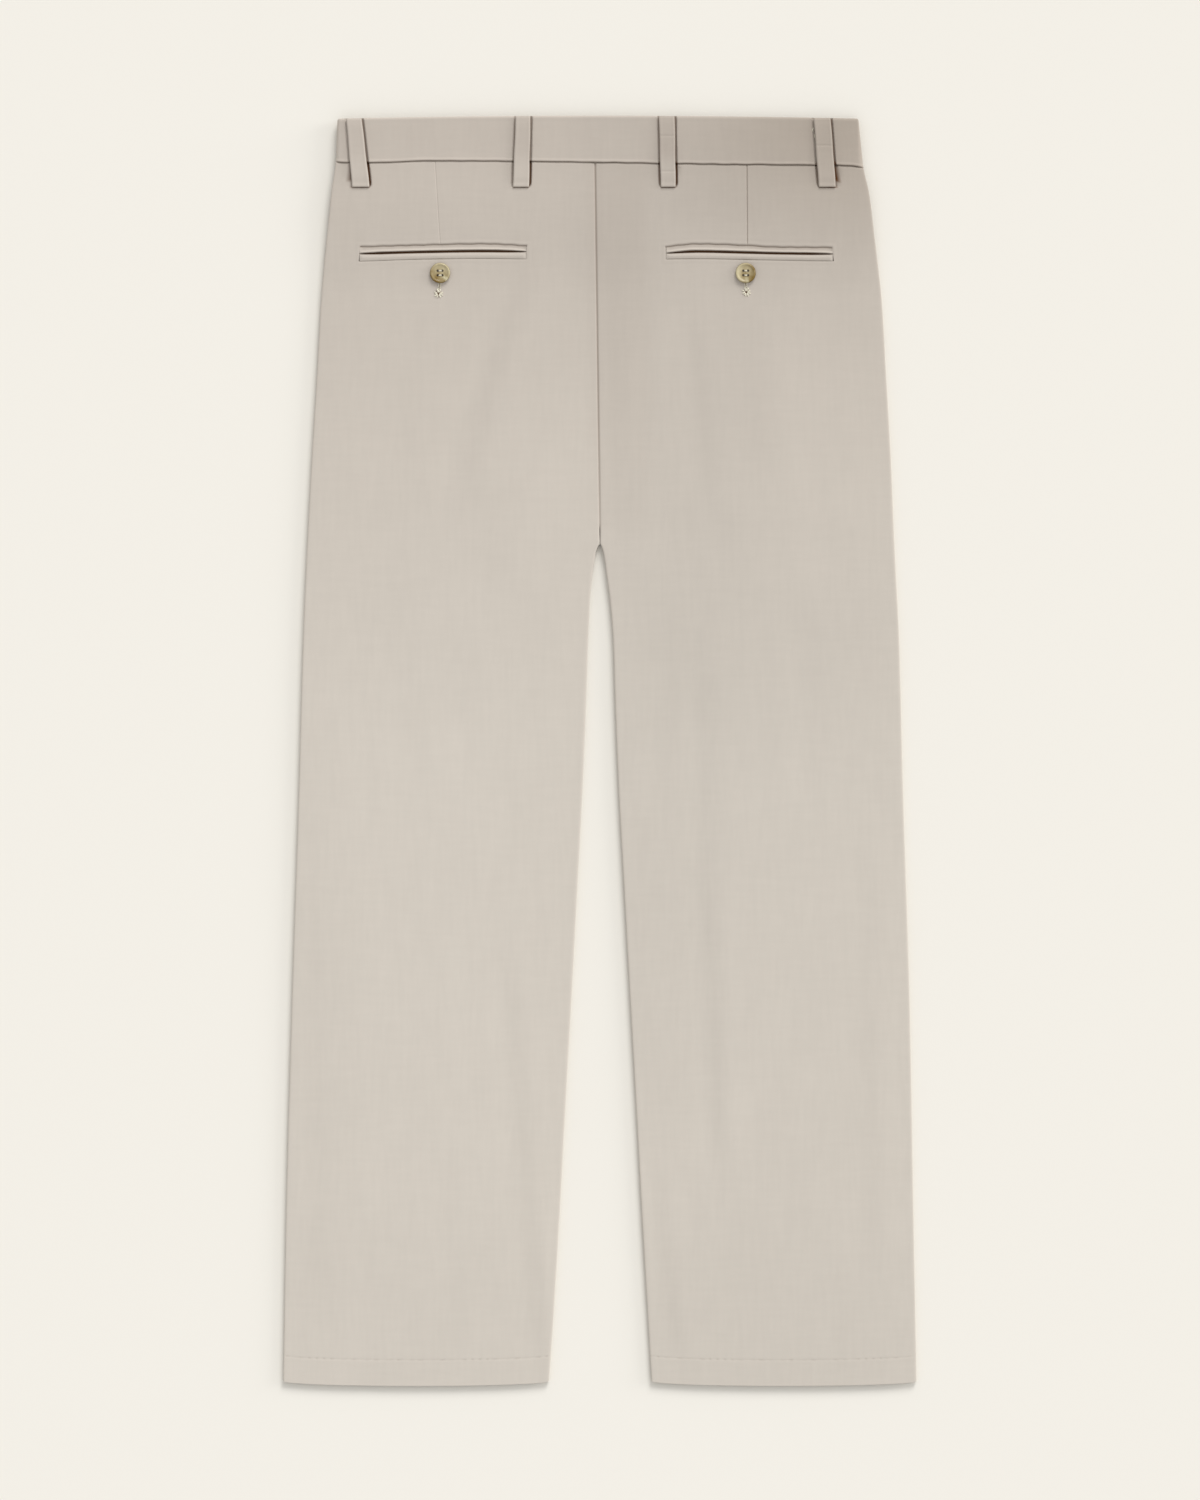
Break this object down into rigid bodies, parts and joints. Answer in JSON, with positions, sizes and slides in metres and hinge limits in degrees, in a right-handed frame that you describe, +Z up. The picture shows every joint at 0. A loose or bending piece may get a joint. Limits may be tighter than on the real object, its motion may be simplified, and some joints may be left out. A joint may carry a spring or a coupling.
{
  "type": "chino trousers",
  "caption": "Straight-leg chino trousers laid flat with the back up: plain waistband with belt loops, double-welt back pockets with buttons, slanted hand pockets and turned-up inner hems.",
  "frame": {"origin": "middle of the garment's outline, on the surface that it lies on", "axes": "+Y along the garment towards the waist, +X towards the wearer's right, +Z up, out of the back of the trousers"},
  "size_m": [0.5289, 1.06, 0.0112],
  "materials": {
    "chino_twill": "matte stone-beige cotton twill with a faint diagonal rib",
    "horn": "polished olive-brown horn with pale streaks"
  },
  "bodies": {
    "root": {"back_panel_left": "chino_twill", "back_panel_right": "chino_twill", "front_panel_left": "chino_twill", "front_panel_right": "chino_twill", "pocket_facing_left": "chino_twill", "pocket_facing_right": "chino_twill", "waistband": "chino_twill", "belt_loop_back_1": "chino_twill", "belt_loop_back_2": "chino_twill", "belt_loop_back_3": "chino_twill", "belt_loop_back_4": "chino_twill", "belt_loop_front_1": "chino_twill", "belt_loop_front_2": "chino_twill", "upper_welt_left": "chino_twill", "upper_welt_right": "chino_twill", "lower_welt_left": "chino_twill", "lower_welt_right": "chino_twill", "pocket_button_left": "horn", "pocket_button_right": "horn", "waist_button": "horn"}
  },
  "joints": []
}
